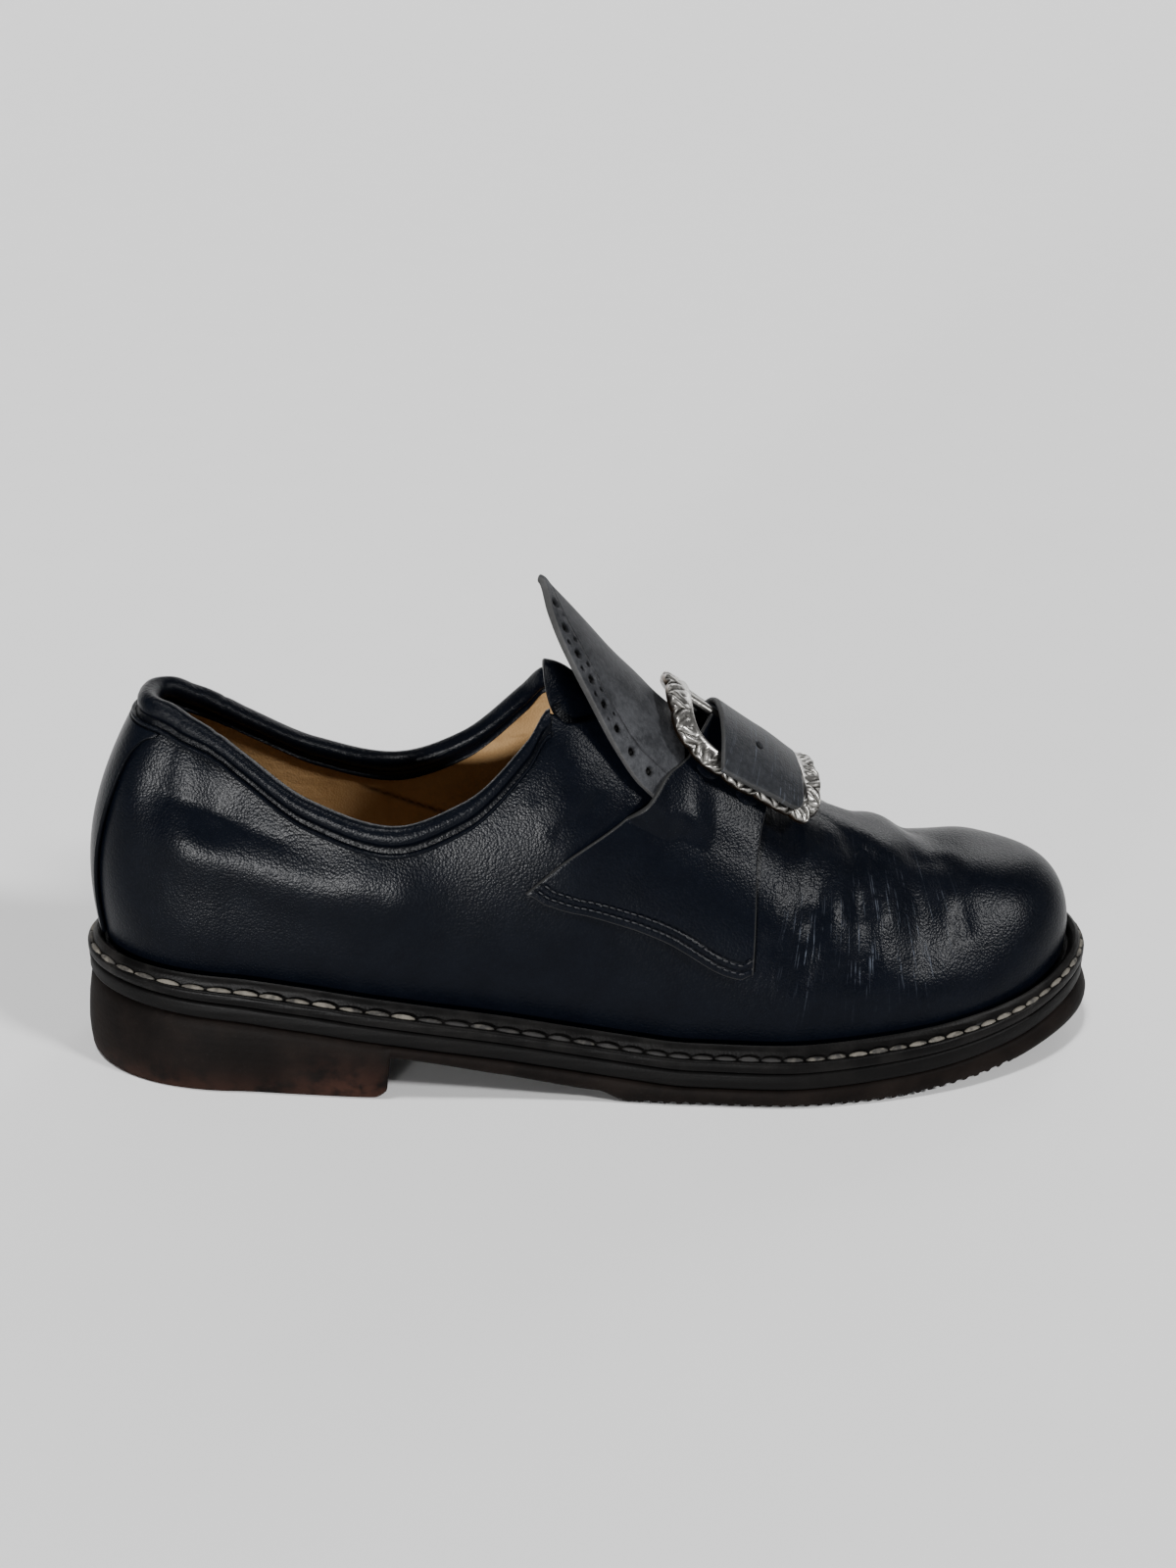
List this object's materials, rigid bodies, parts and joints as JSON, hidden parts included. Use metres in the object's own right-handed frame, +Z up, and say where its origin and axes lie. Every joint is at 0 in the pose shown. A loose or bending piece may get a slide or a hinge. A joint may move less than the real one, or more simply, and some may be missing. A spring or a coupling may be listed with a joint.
{
  "type": "slip-on dress shoe",
  "caption": "Right slip-on dress shoe: welted rubber sole with heel, hollow leather upper, standing pointed flap and a strap through a cast buckle.",
  "frame": {"origin": "on the floor, under the middle of the shoe's box", "axes": "+X from heel to toe, +Y to the inner (medial) side, +Z up"},
  "size_m": [0.299, 0.1002, 0.1435],
  "materials": {
    "upper_leather": "navy black, fine grain, satin",
    "flap_leather": "dark grey navy, matte",
    "tan_leather": "tan lining leather, matte",
    "welt_leather": "black brown, dressed edge",
    "midsole_rubber": "black, matte",
    "outsole_rubber": "dark brown, matte, moulded",
    "antique_silver": "cast, antique silver"
  },
  "bodies": {
    "root": {"outsole": "outsole_rubber", "midsole": "midsole_rubber", "welt": "welt_leather", "insole": "tan_leather", "upper": "upper_leather", "tongue": "upper_leather", "tongue_flap": "flap_leather", "strap_lateral": "upper_leather", "strap_medial": "upper_leather", "buckle": "antique_silver", "collar_binding": "upper_leather", "back_strip": "upper_leather"}
  },
  "joints": []
}
